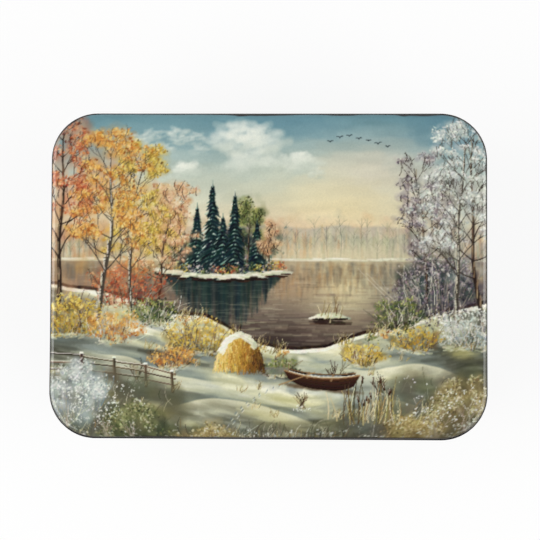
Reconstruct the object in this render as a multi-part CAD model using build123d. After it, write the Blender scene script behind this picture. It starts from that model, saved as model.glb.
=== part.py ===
from build123d import *
import os
from math import hypot, sqrt

# A hinged papier-mache box with a painted, crowned lid.
# The frame: X along the box, Y from its front to its back, Z up, origin under the middle of the base.
# All sizes are in millimetres.

# The lid's outline, as seen from above, and how far it stands out past the box all round.
lid_length = 156.0
lid_width = 116.4
lid_corner_radius = 16.6
lid_overhang = 1.6

# The box: a wound papier-mache wall, a base board inside it, and a lining collar that stands proud.
box_height = 31.0
wall_thickness = 3.6
base_thickness = 3.0
collar_thickness = 1.6
collar_stand = 2.6
floor_card_thickness = 1.0

# The lid: a rim that drops over the collar, a board on top of it and a card inside it.
rim_height = 7.0
lid_card_thickness = 1.0

# The lid board: a straight edge, a rounded shoulder and a crown that rises to a level middle.
board_edge_height = 0.8
shoulder_radius = 2.4
crown_rise = 1.6
crown_reach_share = 0.36
crown_middle_radius = 6.0
crown_steps = 7

# The painted and varnished skin over the lid, and the black line that is left bare round it.
skin_thickness = 0.5
black_line_width = 0.45

# Softened edges.
foot_radius = 0.9
seam_radius = 0.4
collar_edge_radius = 0.5

# Gaps: glued joints, the seam under the closed lid, and the rim's fit round the collar.
glue_line = 0.1
seam_gap = 0.1
collar_clearance = 0.4

# The two hinges, let into the back. Each has knuckles on one pin, a leaf on the box and one on the lid.
hinge_end_distance = 40.0
hinge_length = 24.0
hinge_drop = 0.5
knuckle_count = 5
knuckle_gap = 0.3
barrel_radius = 1.6
barrel_clearance = 0.3
pin_radius = 0.7
pin_clearance = 0.05
leaf_thickness = 0.8
leaf_clearance = 0.1
box_leaf_height = 7.0
lid_leaf_height = 4.2
leaf_corner_radius = 0.8

# The countersunk nails that hold each leaf.
nails_per_leaf = 3
nail_end_margin = 3.6
nail_length = 3.0
nail_shank_radius = 0.35
nail_head_radius = 0.75
nail_head_depth = 0.4
nail_clearance = 0.03

# How far a cutting shape runs past what it cuts.
overrun = 2.0

# The box's outline, and the insets of what is fitted inside it and inside the lid.
box_length = lid_length - 2 * lid_overhang
box_width = lid_width - 2 * lid_overhang
box_corner_radius = lid_corner_radius - lid_overhang
collar_inset = wall_thickness + glue_line
floor_inset = collar_inset + collar_thickness + glue_line
rim_inset = lid_overhang + collar_inset - collar_clearance
lid_card_inset = rim_inset + glue_line

# Heights, from the base up.
collar_top_z = box_height + collar_stand
lid_foot_z = box_height + seam_gap
board_z = lid_foot_z + rim_height
crown_foot_z = board_z + board_edge_height + shoulder_radius

# The crown's slope where it meets the shoulder sets the middle of the shoulder's arc.
crown_reach = crown_reach_share * lid_width
crown_slope = 2 * crown_rise / crown_reach
shoulder_middle_z = crown_foot_z - shoulder_radius * (hypot(1, crown_slope) - crown_slope)
black_line_rise = sqrt(shoulder_radius**2 - (shoulder_radius - black_line_width) ** 2)
picture_foot_z = shoulder_middle_z + black_line_rise

# The hinge line: the barrel is flush with the lid's back face, and hidden under the lid from above.
lid_back_y = lid_width / 2
box_back_y = box_width / 2
pin_y = lid_back_y - barrel_radius
pin_z = box_height - hinge_drop
notch_radius = barrel_radius + barrel_clearance
knuckle_length = (hinge_length - (knuckle_count - 1) * knuckle_gap) / knuckle_count
box_leaf_top_z = pin_z - notch_radius
box_leaf_foot_z = box_leaf_top_z - box_leaf_height
lid_leaf_foot_z = pin_z + notch_radius
lid_leaf_top_z = lid_leaf_foot_z + lid_leaf_height
hinge_middle_x = lid_length / 2 - hinge_end_distance
hinge_sides = {"left": -hinge_middle_x, "right": hinge_middle_x}


def box_outline(inset):
    """The box's outline from above, drawn in by an inset."""
    radius = box_corner_radius - inset
    return RectangleRounded(box_length - 2 * inset, box_width - 2 * inset, radius)


def lid_outline(inset):
    """The lid's outline from above, drawn in by an inset."""
    radius = lid_corner_radius - inset
    return RectangleRounded(lid_length - 2 * inset, lid_width - 2 * inset, radius)


def slab(face, low, high):
    """An outline from above, made solid between two heights."""
    return Pos(0, 0, low) * extrude(face, high - low)


def block(x, y, z):
    """A block, from a low and a high place along each axis."""
    spans = (x, y, z)
    middle = [(low + high) / 2 for low, high in spans]
    return Pos(*middle) * Box(*[high - low for low, high in spans])


def bar(radius, x):
    """A round bar on the hinge line, from a low to a high place along it."""
    low, high = x
    return Pos((low + high) / 2, pin_y, pin_z) * Rot(0, 90, 0) * Cylinder(radius, high - low)


def about(middle, length, clearance=0):
    """The low and high place of a length about its middle, with a clearance at each end."""
    return (middle - length / 2 - clearance, middle + length / 2 + clearance)


# The nails.


def nail_places(hinge_x, z):
    """Where one leaf's nails go, evenly spaced along it."""
    step = (hinge_length - 2 * nail_end_margin) / (nails_per_leaf - 1)
    first = hinge_x - hinge_length / 2 + nail_end_margin
    return [(first + number * step, z) for number in range(nails_per_leaf)]


def nail(place, face_y, clearance=0):
    """A countersunk nail, driven in at the back, or with a clearance the hole for one."""
    x, z = place
    shank_radius = nail_shank_radius + clearance
    depth = nail_length + clearance
    shank = Pos(0, 0, -depth / 2) * Cylinder(shank_radius, depth)
    head_middle = Pos(0, 0, -nail_head_depth / 2)
    head = head_middle * Cone(shank_radius, nail_head_radius + clearance, nail_head_depth)
    return Pos(x, face_y, z) * Rot(-90, 0, 0) * (shank + head)


def box_nail_places(hinge_x):
    return nail_places(hinge_x, (box_leaf_top_z + box_leaf_foot_z) / 2)


def lid_nail_places(hinge_x):
    return nail_places(hinge_x, (lid_leaf_top_z + lid_leaf_foot_z) / 2)


# The hinges.


def knuckle_spans(hinge_x, first):
    """Every second knuckle's place along the hinge line, from the first one named."""
    start = hinge_x - hinge_length / 2
    pitch = knuckle_length + knuckle_gap
    lows = [start + number * pitch for number in range(first, knuckle_count, 2)]
    return [(low, low + knuckle_length) for low in lows]


def leaf(hinge_x, face_y, z, first, places, at_top):
    """A leaf flush with a back face, with its own knuckles, their webs and its nail holes."""
    y = (face_y - leaf_thickness, face_y)
    plate = block(about(hinge_x, hinge_length), y, z)
    corners = plate.edges().filter_by(Axis.Y).group_by(Axis.Z)[-1 if at_top else 0]
    shape = fillet(corners, leaf_corner_radius)
    web_z = (pin_z, z[0]) if at_top else (z[1], pin_z)
    for span in knuckle_spans(hinge_x, first):
        shape += block(span, y, web_z) + bar(barrel_radius, span)
    shape -= bar(pin_radius + pin_clearance, about(hinge_x, hinge_length, overrun))
    for place in places:
        shape -= nail(place, face_y, nail_clearance)
    return shape


def box_leaf(hinge_x):
    z = (box_leaf_foot_z, box_leaf_top_z)
    return leaf(hinge_x, box_back_y, z, 0, box_nail_places(hinge_x), at_top=False)


def lid_leaf(hinge_x):
    z = (lid_leaf_foot_z, lid_leaf_top_z)
    return leaf(hinge_x, lid_back_y, z, 1, lid_nail_places(hinge_x), at_top=True)


def hinge_room(hinge_x, face_y, z, places):
    """What one hinge takes out of the wall or the rim: barrel notch, leaf recess and nail holes."""
    room = bar(notch_radius, about(hinge_x, hinge_length, barrel_clearance))
    recess_y = (face_y - leaf_thickness - leaf_clearance, face_y + overrun)
    room += block(about(hinge_x, hinge_length, leaf_clearance), recess_y, z)
    for place in places:
        room += nail(place, face_y, nail_clearance)
    return room


# The box.


def body_wall():
    outside = slab(box_outline(0), 0, box_height)
    outside = fillet(outside.edges().group_by(Axis.Z)[0], foot_radius)
    outside = fillet(outside.edges().group_by(Axis.Z)[-1], seam_radius)
    shape = outside - slab(box_outline(wall_thickness), -overrun, box_height + overrun)
    recess_z = (box_leaf_foot_z - leaf_clearance, box_height + overrun)
    for hinge_x in hinge_sides.values():
        shape -= hinge_room(hinge_x, box_back_y, recess_z, box_nail_places(hinge_x))
    return shape


def inner_collar():
    outside = slab(box_outline(collar_inset), base_thickness, collar_top_z)
    inside_outline = box_outline(collar_inset + collar_thickness)
    shape = outside - slab(inside_outline, base_thickness - overrun, collar_top_z + overrun)
    return fillet(shape.edges().group_by(Axis.Z)[-1], collar_edge_radius)


def base_board():
    return slab(box_outline(collar_inset), 0, base_thickness)


def floor_card():
    return slab(box_outline(floor_inset), base_thickness, base_thickness + floor_card_thickness)


# The lid.


def lid_rim():
    shape = slab(lid_outline(0), lid_foot_z, board_z)
    shape -= slab(lid_outline(rim_inset), lid_foot_z - overrun, board_z + overrun)
    shape = fillet(shape.edges().group_by(Axis.Z)[0], seam_radius)
    recess_z = (lid_foot_z - overrun, lid_leaf_top_z + leaf_clearance)
    for hinge_x in hinge_sides.values():
        shape -= hinge_room(hinge_x, lid_back_y, recess_z, lid_nail_places(hinge_x))
    return shape


def lid_card():
    return slab(lid_outline(lid_card_inset), board_z - lid_card_thickness, board_z)


def crown_section(depth, number):
    """One level outline of the crown, counted from its foot, a depth under its surface."""
    share = number / crown_steps
    inset = depth + crown_reach * share
    foot_corner = lid_corner_radius - depth
    corner = foot_corner + (crown_middle_radius - foot_corner) * share
    height = crown_foot_z - depth + crown_rise * (1 - (1 - share) ** 2)
    face = RectangleRounded(lid_length - 2 * inset, lid_width - 2 * inset, corner)
    return Pos(0, 0, height) * face


def crowned_blank(depth):
    """The lid board and its skin as one piece, cut back by a depth all round."""
    foot_z = crown_foot_z - depth
    crown = loft([crown_section(depth, number) for number in range(crown_steps + 1)])
    shape = slab(lid_outline(depth), board_z, foot_z) + crown
    shoulder = [edge for edge in shape.edges() if abs(edge.center().Z - foot_z) < seam_gap]
    return fillet(shoulder, shoulder_radius - depth)


def lid_board_and_picture():
    blank = crowned_blank(0)
    above = slab(lid_outline(-overrun), picture_foot_z, crown_foot_z + crown_rise + overrun)
    picture = (blank & above) - crowned_blank(skin_thickness)
    return blank - picture, picture


# The pieces, by the names that they go by on the bench.

board, picture = lid_board_and_picture()
pieces = {
    "body_wall": body_wall(),
    "inner_collar": inner_collar(),
    "base_board": base_board(),
    "floor_card": floor_card(),
    "lid_rim": lid_rim(),
    "lid_board": board,
    "lid_card": lid_card(),
    "lid_picture": picture,
}
for side, hinge_x in hinge_sides.items():
    pieces["hinge_box_leaf_" + side] = box_leaf(hinge_x)
    pieces["hinge_lid_leaf_" + side] = lid_leaf(hinge_x)
    pieces["hinge_pin_" + side] = bar(pin_radius, about(hinge_x, hinge_length))

box_nails = [nail(place, box_back_y) for x in hinge_sides.values() for place in box_nail_places(x)]
lid_nails = [nail(place, lid_back_y) for x in hinge_sides.values() for place in lid_nail_places(x)]
pieces["hinge_nails_box"] = Compound(children=box_nails)
pieces["hinge_nails_lid"] = Compound(children=lid_nails)

os.makedirs("parts", exist_ok=True)
for name, shape in pieces.items():
    export_step(shape, "parts/" + name + ".step")
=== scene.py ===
# The looks of a hinged papier-mache box: black lacquer outside, red inside, and a painted, varnished lid.
# The lid's picture is painted by this script, touch by touch, and then laid over the lid's crown.

import math

import bmesh
import bpy
import numpy as np
from mathutils import Matrix, Vector


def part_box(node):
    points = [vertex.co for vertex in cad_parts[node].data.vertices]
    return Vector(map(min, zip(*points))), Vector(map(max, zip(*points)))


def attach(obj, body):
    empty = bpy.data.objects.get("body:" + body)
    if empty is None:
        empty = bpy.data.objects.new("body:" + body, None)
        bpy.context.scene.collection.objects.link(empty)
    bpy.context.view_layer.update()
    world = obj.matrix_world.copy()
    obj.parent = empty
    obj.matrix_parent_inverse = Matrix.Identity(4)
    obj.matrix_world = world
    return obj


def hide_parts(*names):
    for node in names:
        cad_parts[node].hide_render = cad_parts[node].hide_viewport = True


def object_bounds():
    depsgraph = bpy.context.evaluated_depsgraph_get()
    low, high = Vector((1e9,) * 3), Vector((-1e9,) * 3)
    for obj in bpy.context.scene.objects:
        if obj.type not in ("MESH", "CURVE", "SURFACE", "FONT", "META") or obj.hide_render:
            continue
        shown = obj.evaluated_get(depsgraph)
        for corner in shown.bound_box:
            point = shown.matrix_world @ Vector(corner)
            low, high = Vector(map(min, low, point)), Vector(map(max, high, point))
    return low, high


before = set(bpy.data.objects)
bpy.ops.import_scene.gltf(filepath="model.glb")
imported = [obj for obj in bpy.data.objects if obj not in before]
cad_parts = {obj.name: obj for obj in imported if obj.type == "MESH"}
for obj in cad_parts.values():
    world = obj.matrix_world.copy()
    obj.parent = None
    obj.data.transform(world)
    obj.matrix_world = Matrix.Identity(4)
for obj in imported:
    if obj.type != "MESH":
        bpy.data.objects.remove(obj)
cad_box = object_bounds()

mm = 0.001


# The lid's form in millimetres, as its board was made: a rounded edge, then a low crown.

half_length = cad_box[1][0] / mm
half_width = cad_box[1][1] / mm
corner_radius = 16.6
shoulder_radius = 2.4
crown_rise = 1.6
crown_reach = 0.72 * half_width
crown_middle_radius = 6.0
crown_foot_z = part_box("lid_picture")[1][2] / mm - crown_rise
bare_edge_width = 0.45
edge_line = 0.5
picture_thickness = 0.5
skin_half_width = half_width - bare_edge_width


def outside_of(x, y, inset):
    """How far a place lies outside the lid's outline drawn in by an inset; below 0 is inside."""
    share = np.clip(inset / crown_reach, 0, 1)
    corner = corner_radius + (crown_middle_radius - corner_radius) * share
    qx = np.abs(x) - (half_length - inset) + corner
    qy = np.abs(y) - (half_width - inset) + corner
    return np.hypot(np.maximum(qx, 0), np.maximum(qy, 0)) + np.minimum(np.maximum(qx, qy), 0) - corner


def inset_at(x, y):
    """How far in from the lid's edge a place lies, up to the crown's level middle."""
    low, high = np.zeros(x.shape), np.full(x.shape, crown_reach)
    halvings = 18
    for _ in range(halvings):
        middle = (low + high) / 2
        further_in = outside_of(x, y, middle) < 0
        low, high = np.where(further_in, middle, low), np.where(further_in, high, middle)
    return (low + high) / 2


def crown_z(inset):
    return crown_foot_z + crown_rise * (1 - (1 - np.clip(inset / crown_reach, 0, 1)) ** 2)


def shoulder_arc():
    """Where the rounded edge ends and where its middle is, so that it runs into the crown smoothly."""
    end = shoulder_radius
    rounds = 6
    for _ in range(rounds):
        slope = 2 * crown_rise / crown_reach * (1 - end / crown_reach)
        end = shoulder_radius * (1 - slope / math.hypot(1, slope))
    return end, float(crown_z(end)) - shoulder_radius / math.hypot(1, slope)


arc_end, arc_middle_z = shoulder_arc()


def skin_z(inset):
    arc = arc_middle_z + np.sqrt(np.maximum(shoulder_radius**2 - (shoulder_radius - inset) ** 2, 0))
    return np.where(inset < arc_end, arc, crown_z(inset))


def skin_half_length(y):
    """Half the length of the picture at a place across the lid."""
    corner = corner_radius - bare_edge_width
    beyond = np.maximum(np.abs(y) - (half_width - corner_radius), 0)
    return half_length - corner_radius + np.sqrt(np.maximum(corner**2 - beyond**2, 0))


# The picture is painted first, on a flat canvas of fine cells, with touches of a few kinds of brush.
# Places and sizes are in millimetres from the lid's middle. A tone runs from 0, a palette's darkest, to 1.

pitch = 0.25
rng = np.random.default_rng(1941)
xs = np.arange(-half_length, half_length + pitch, pitch)
ys = np.arange(-half_width, half_width + pitch, pitch)
across, up = np.meshgrid(xs, ys)
canvas = np.zeros(across.shape + (3,))
whole_length = (-half_length, half_length)
upright = math.pi / 2
far_shore = 5.0


def paint(code):
    """A colour from sRGB hex, each channel from 0 to 1."""
    return np.array([int(code[i : i + 2], 16) for i in (1, 3, 5)]) / 255


def paints(*codes):
    """A palette, from dark to pale."""
    return [paint(code) for code in codes]


peach = paints("#8A5F48", "#B08060", "#CBA07C", "#DDBE9C", "#E9D6BA")
haze = paints("#5F625C", "#84857A", "#A9A792", "#C7C2A6", "#DCD6BA")
snow = paints("#8C9694", "#A9ADA0", "#C4C4AA", "#D9D7BC", "#EAE8D6", "#F6F4EA")
autumn = paints("#6E3F24", "#A5612F", "#C88645", "#DAA458", "#E7BF78", "#F0DAA6")
rust = paints("#56261C", "#8A4030", "#B05A3E", "#C97A54", "#DA9E74", "#E8C4A0")
gold = paints("#5A4A22", "#8A7030", "#B39140", "#D0AF52", "#E2C872", "#F0E2A8")
hoar = paints("#566068", "#7D878C", "#A6AEAE", "#CACFCA", "#E8E9E2", "#FBFBF6")
lilac = paints("#2E2A34", "#4E4854", "#756C76", "#A0969A", "#CDC4C0", "#EFEBE6")
moss = paints("#161F1C", "#2B382A", "#4A5636", "#727A48", "#A3A566", "#CFCB98")
sage = paints("#23281F", "#3E4532", "#636848", "#8A8B62", "#B2B08A", "#D8D6BC")
sedge = paints("#3A3325", "#5F553C", "#887C57", "#ABA078", "#CCC3A0", "#EBE6D0")
night = paints("#0E171D", "#16262E", "#1E3638", "#2A4644")
night_image = night + paints("#4A4A44", "#5E564C")
needle = paints("#3A5A52", "#56756A", "#2C4A48", "#6E8C7A")
rime = paints("#9DB8AA", "#C4D6CA", "#E6EEE6", "#84A498")
straw = paints("#453A28", "#6E6040", "#988658", "#BFAD7C", "#DACBA0", "#EDE4C8")
hay = paints("#33241A", "#5E4426", "#8C6830", "#B98E44", "#DBB768", "#F0D898")
murk = paints("#34342B", "#57564A", "#77745F", "#94907A")
dry_grass = paints("#302F28", "#504E42", "#716F5E", "#979582", "#C2C1B0", "#E8E7DE")
wood = paints("#2A201C", "#41332B", "#5C4A3C", "#7A6653")
hull = paints("#1F1512", "#35211B", "#4C3026", "#6A4635")
undercut = paints("#1C1615", "#241A18", "#33241F", "#4A3128")
shadow_blue = paints("#6E767A", "#78848A", "#8A9294")
ripple = paints("#3A302F", "#574B47", "#7D7268", "#A99F8C", "#CFC6AC", "#E3DEC8")
lake_image = paints("#4D5053", "#5E605E", "#6B6257", "#857B68", "#98714E", "#B4956F")
brown_bark = paints("#2E231F", "#4E3E34", "#7A6754", "#A8957C")
birch_bark = paints("#4A443E", "#8C8478", "#C4BDAE", "#F0ECE0")
birch_marks = paint("#2E2A28")


# Chance, tones and fields.


def between(low, high):
    return low + (high - low) * rng.random()


def scatter(spread):
    """An offset that is mostly small, as from a normal spread, but never runs far out."""
    return 2.5 * spread * math.tanh(rng.normal(0, 0.4))


def in_round(turn=2 * math.pi):
    """A random place in a round area of radius 1, or in a part of it, as a distance and a turn."""
    return math.sqrt(rng.random()), between(0, turn)


def pick(choices):
    return choices[rng.integers(len(choices))]


def shade(colours, tone):
    """A palette's colour at a tone, never mixed quite the same."""
    step = min(max(tone, 0.0), 1.0) * (len(colours) - 1)
    k = min(int(step), len(colours) - 2)
    return colours[k] + (colours[k + 1] - colours[k]) * (step - k) + rng.normal(0, 0.016, 3)


def mixed(colours, low=0, high=1):
    """A palette's colour at a random tone."""
    return shade(colours, between(low, high))


def read_between(grid, i, j, fu, fv):
    """A grid's values between its cells, from their columns and rows and how far on they lie."""
    near = grid[j, i] * (1 - fu) + grid[j, i + 1] * fu
    far = grid[j + 1, i] * (1 - fu) + grid[j + 1, i + 1] * fu
    return near * (1 - fv) + far * fv


def drift(wide, high, octaves=3, turn=0.0):
    """Smooth random patches of a size, each octave half as large and half as strong, from 0 to 1."""
    c, s = math.cos(turn), math.sin(turn)
    total, weight = np.zeros(across.shape), 0.0
    for octave in range(octaves):
        share = 0.5**octave
        u = (across * c + up * s) / (wide * share)
        v = (up * c - across * s) / (high * share)
        u, v = u - u.min(), v - v.min()
        i, j = u.astype(int), v.astype(int)
        fu, fv = u - i, v - j
        fu, fv = fu * fu * (3 - 2 * fu), fv * fv * (3 - 2 * fv)
        grid = rng.random((j.max() + 2, i.max() + 2))
        total += share * read_between(grid, i, j, fu, fv)
        weight += share
    return total / weight


def blend_stops(field, stops):
    """A field of colours: each stop gives the colour at one value, and those between are mixed."""
    colours = np.array([paint(code) for code in stops.values()])
    return np.stack([np.interp(field, list(stops), colours[:, k]) for k in range(3)], -1)


def soft_step(distance, blur=0.5):
    """1 where a distance is above zero and 0 where it is below, with a soft edge between."""
    return np.clip(distance / blur + 0.5, 0, 1)


def pool(x, y, wide, high):
    """A soft round patch, 1 in its middle."""
    return np.exp(-(((across - x) / wide) ** 2) - ((up - y) / high) ** 2)


def glaze(colour, cover):
    """Lays one colour, or a field of colours, over the canvas where the cover is above 0."""
    canvas[:] = canvas + (colour - canvas) * np.clip(cover, 0, 1)[..., None]


def cell(place, half, count):
    """The number of the canvas's row or column at a place."""
    return min(max(int((place + half) / pitch), 0), count - 1)


def height_at(line_heights, x):
    """The height of a line, given for each column, at a place across the canvas."""
    return line_heights[cell(x, half_length, len(xs))]


def colour_at(x, y):
    return canvas[cell(y, half_width, len(ys)), cell(x, half_length, len(xs))].copy()


# The brushes. Strength is how much a touch covers, and hard is how crisp its edge is.


def cells_from(a, b, half, count):
    """The first of the canvas's rows or columns between two places, and the one after the last."""
    return max(int((a + half) / pitch), 0), min(int((b + half) / pitch) + 2, count)


def touch(x0, y0, x1, y1, w0, w1, colour, strength, hard=2.2):
    """One touch of a round brush, from one place to another, with a width at each end."""
    pad = max(w0, w1) / 2 + pitch
    c0, c1 = cells_from(min(x0, x1) - pad, max(x0, x1) + pad, half_length, len(xs))
    r0, r1 = cells_from(min(y0, y1) - pad, max(y0, y1) + pad, half_width, len(ys))
    if c0 >= c1 or r0 >= r1:
        return
    gx, gy = xs[c0:c1] - x0, ys[r0:r1, None] - y0
    dx, dy = x1 - x0, y1 - y0
    along = np.clip((gx * dx + gy * dy) / (dx * dx + dy * dy + 1e-9), 0, 1)
    half = (w0 + (w1 - w0) * along) / 2
    off = ((gx - along * dx) ** 2 + (gy - along * dy) ** 2) / (half * half + 1e-9)
    cover = np.clip((1 - off) * hard, 0, 1) * strength
    patch = canvas[r0:r1, c0:c1]
    patch += (colour - patch) * cover[..., None]


def dab(x, y, long, wide, turn, colour, strength=0.8, hard=2.2):
    """A touch with its middle at a place."""
    dx, dy = math.cos(turn) * (long - wide) / 2, math.sin(turn) * (long - wide) / 2
    touch(x - dx, y - dy, x + dx, y + dy, wide, wide, colour, strength, hard)


def pull(x, y, tall, wide, tip_wide, colour, strength, hard):
    """An upright touch that leans a little either way."""
    touch(x, y, x + between(-0.4, 0.4), y + tall, wide, tip_wide, colour, strength, hard)


def line(points, w0, w1, colour, strength=0.9):
    """A line that goes from one width to another along its points."""
    widths = np.linspace(w0, w1, len(points))
    for k in range(len(points) - 1):
        touch(*points[k], *points[k + 1], widths[k], widths[k + 1], colour, strength, 2.0)


def bow(x0, y0, x1, y1, sag, steps=5):
    """Points on a bowed line between two places; sag bends it to its left, as a share of its length."""
    dx, dy = x1 - x0, y1 - y0
    shares = [k / steps for k in range(steps + 1)]
    offs = [4 * sag * t * (1 - t) for t in shares]
    return [(x0 + dx * t - dy * off, y0 + dy * t + dx * off) for t, off in zip(shares, offs)]


def lifted(points, by):
    return [(x, y + by) for x, y in points]


def strand(x, y, lean, long, w0, w1, colour, strength=0.7, bend=0.2):
    """A fine, slightly bowed line that rises from its root, leaning from the upright."""
    tip = (x + long * math.sin(lean), y + long * math.cos(lean))
    line(bow(x, y, *tip, between(-bend, bend), 4), w0, w1, colour, strength)
    return tip


def strokes(count, x, y, long, wide, colours, strength, hard=1.6, turn=(0, 0), tone=(0, 1), along=None):
    """Dabs at random within ranges, set off from a line where its height at each place is given."""
    for _ in range(count):
        px = between(*x)
        py = between(*y) + (along(px) if along else 0)
        colour = mixed(colours, *tone)
        dab(px, py, between(*long), between(*wide), between(*turn), colour, strength, hard)


def scumble(count, place, long, wide, change, strength):
    """Soft strokes of the colour that is there, a little lighter or darker, so that a wash shows the
    brush. The place function gives each stroke's x, y and turn."""
    for _ in range(count):
        x, y, turn = place()
        tone = colour_at(x, y) + rng.normal(0, change)
        dab(x, y, between(*long), between(*wide), turn, tone, strength, 1.0)


def flecks(x, y, wide, high, count, colours, size, tone=(0, 1), strength=0.8):
    """Small touches in a loose cloud, the dark ones first and the pale ones on its upper left."""
    for t in np.arange(count) / max(count, 1):
        px = x + wide * (scatter(0.3) - 0.1 * t)
        py = y + high * (scatter(0.3) + 0.16 * t)
        colour = shade(colours, tone[0] + (tone[1] - tone[0]) * t + rng.normal(0, 0.1))
        long = size * between(0.7, 1.7)
        wide_share, cover = between(0.45, 0.75), strength * between(0.45, 1)
        dab(px, py, long, long * wide_share, between(0, math.pi), colour, cover, 2)


def wash(x, y, wide, high, colours, tone=0.5, strength=0.3, count=12, size=1.0):
    """Overlapping soft touches that lay in a mass without an edge."""
    for _ in range(count):
        r, way = in_round()
        r *= 0.62
        big = size * between(2.2, 4.4)
        colour = shade(colours, tone + rng.normal(0, 0.12))
        px, py = x + wide * r * math.cos(way), y + high * r * math.sin(way)
        long = big * between(1.0, 1.8)
        dab(px, py, long, big, between(0, math.pi), colour, strength * between(0.5, 1), 0.9)


# Sky.


def sky():
    """From warm haze over the far shore to grey-blue, with three glows and two darker drifts."""
    height = (up - far_shore) / (half_width - far_shore) + 0.2 * (drift(64, 15, 3, 0.05) - 0.5)
    stops = {0: "#D9C3A0", 0.22: "#D8CBB0", 0.42: "#CFCFBC", 0.6: "#AFBDB8", 0.78: "#86A0A8", 1: "#6C8F9C"}
    canvas[:] = blend_stops(height, stops)
    for code, strength, x, y, wide, high in (
        ("#E6D6AC", 0.8, 26, 22, 24, 17),
        ("#DDB79E", 0.6, 10, 12, 30, 8),
        ("#D9CFC0", 0.7, 40, 38, 20, 9),
        ("#5C8094", 0.6, 70, 52, 18, 14),
        ("#64899C", 0.5, 8, 54, 22, 6),
    ):
        glaze(paint(code), strength * pool(x, y, wide, high))

    def anywhere():
        return between(*whole_length), between(far_shore, half_width), between(-0.16, 0.24)

    scumble(900, anywhere, (8, 21), (2, 5), 0.03, 0.3)


def cloud(x, y, wide, high, light, dark, lobes):
    """Rounded lobes, each lit on its upper left and lost in haze below."""
    for _ in range(lobes):
        side = between(-1, 1)
        size = high * between(0.3, 0.55) * (1.1 - 0.5 * abs(side))
        lobe_x, lobe_y = x + wide * side, y + high * (1 - side * side) * between(0.05, 0.95)
        for _ in range(34):
            r, way = in_round()
            px, py = lobe_x + size * r * math.cos(way), lobe_y + 0.7 * size * r * math.sin(way)
            lit = 0.5 + r * (0.55 * math.sin(way) - 0.2 * math.cos(way)) + 0.3 * (lobe_y - y) / high
            colour = dark + (light - dark) * min(max(lit, 0), 1)
            long, thick = size * between(0.6, 1.1), size * between(0.3, 0.5)
            dab(px, py, long, thick, between(-0.3, 0.5), colour, 0.2, 1.0)


# Across the water.


def ridge(base, lift, wide, colour, mist):
    """A wooded ridge that fades into mist at its foot. Gives the height of its top, a random line."""
    top = base + lift * (drift(wide, 400, 4)[0] - 0.25)
    cover = soft_step(top - up, 0.9) * (up > far_shore - 2)
    foot = np.clip((up - far_shore) / (lift + base - far_shore), 0, 1)
    glaze(paint(colour) + (paint(mist) - paint(colour)) * (0.7 * (1 - foot))[..., None], cover)
    return top


def far_bank():
    """Two misty ridges, a belt of soft bare trees and a line of snow at the water."""
    ridge(13, 11, 52, "#B0A9A0", "#D8C6AA")
    top = ridge(10, 9, 26, "#97988F", "#CDBFA4")
    for _ in range(1500):
        x = between(*whole_length)
        y = between(far_shore, height_at(top, x))
        warm = 0.5 + 0.5 * math.sin(x * 0.09 + 1.0)
        colour = shade(peach if rng.random() < 0.55 * warm else haze, between(0.2, 1))
        pull(x, y, between(1.5, 5.5), between(0.9, 2.0), 0.4, colour, between(0.12, 0.4), 1.2)
    for x in np.arange(-76, 78, 3.1):
        x, y, tall = x + between(-1, 1), far_shore + between(0, 2), between(6, 15)
        stem = bow(x, y, x + between(-1, 1), y + tall, between(-0.05, 0.05), 4)
        line(stem, 0.42, 0.2, mixed(haze, 0, 0.4), between(0.3, 0.65))
        for px, py in stem[1:4]:
            for side in (-1, 1):
                twig = bow(px, py, px + side * between(1, 2.6), py + between(2, 4), 0.1 * side, 3)
                line(twig, 0.28, 0.16, shade(haze, 0.15), 0.4)
        wash(x, y + tall * 0.85, 7, 6, pick([peach, haze]), 0.6, 0.22, 7, 0.8)
    glaze(paint("#E5D6B2"), 0.6 * pool(24, far_shore + 2, 26, 4))
    foot = (far_shore - 1.1, far_shore + 1.0)
    strokes(260, whole_length, foot, (2, 8), (0.4, 1.0), snow, 0.5, turn=(-0.05, 0.05), tone=(0.45, 1))


def water():
    """The lake: pale far off and under the glow, brown close by, its images crossed by level ripples."""
    reach = 36
    depth = np.clip((far_shore - up) / 34, 0, 1)
    side = np.clip(np.abs(across - 24) / 70, 0, 1)
    stops = {0: "#A79A84", 0.12: "#B0A48E", 0.34: "#968C7C", 0.6: "#776B62", 0.82: "#574A45", 1: "#3E3433"}
    cover = soft_step(far_shore - up)
    glaze(blend_stops(depth + 0.3 * side + 0.12 * (drift(30, 5, 3) - 0.5), stops), cover)
    glaze(paint("#E2D3AA"), 0.8 * pool(28, -4, 12, 11) * cover)
    glaze(paint("#C79E7C"), 0.45 * pool(8, -3, 12, 6) * cover)
    glaze(paint("#71828C"), 0.45 * pool(58, -7, 16, 8) * cover)
    for _ in range(1500):
        x, y = between(*whole_length), far_shore - abs(rng.normal(0, 5)) - 0.3
        pull(x, y, -between(1.5, 6), 1.7, 0.8, pick(lake_image), between(0.08, 0.26), 0.8)
    for _ in range(1500):
        y = far_shore - reach * rng.random() ** 0.9
        near = (far_shore - y) / reach
        colour = shade(ripple, rng.random() ** (0.7 + near))
        long, wide = between(2.5, 10) * (0.6 + near), between(0.4, 1.0) * (0.7 + near)
        strength = between(0.05, 0.16) + 0.16 * near
        dab(between(*whole_length), y, long, wide, between(-0.03, 0.03), colour, strength, 0.8)


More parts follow.
